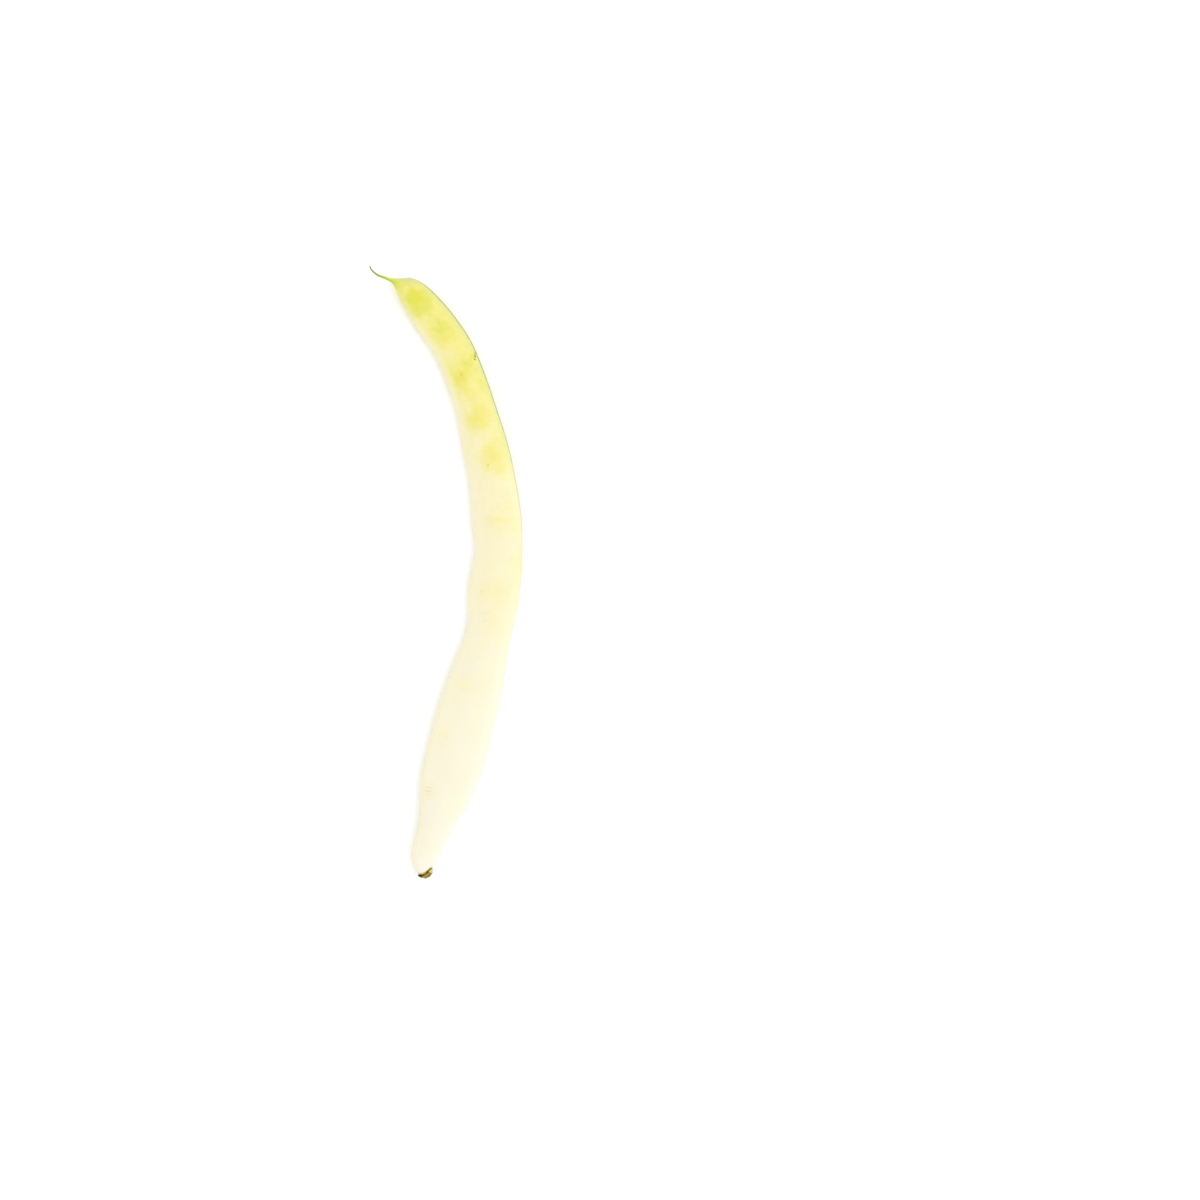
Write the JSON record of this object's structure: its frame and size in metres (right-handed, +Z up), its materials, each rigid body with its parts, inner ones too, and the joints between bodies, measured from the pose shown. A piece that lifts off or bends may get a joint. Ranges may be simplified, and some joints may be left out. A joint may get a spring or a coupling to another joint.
{
  "type": "green bean",
  "caption": "Long flat bean pod, pale yellow with a greenish tip, bowed like a sickle, with a hooked beak and a dry stalk cap, lying on its flat side.",
  "frame": {"origin": "on the surface that the pod lies on, under the middle of its box", "axes": "+Y from the stalk end to the beak, +X towards the back seam, on the outside of the bow, +Z up"},
  "size_m": [0.049, 0.1962, 0.0074],
  "materials": {
    "pod_skin": "waxy skin",
    "dry_husk": "dry, fibrous"
  },
  "bodies": {
    "root": {"pod": "pod_skin", "stalk_cap": "dry_husk"}
  },
  "joints": []
}
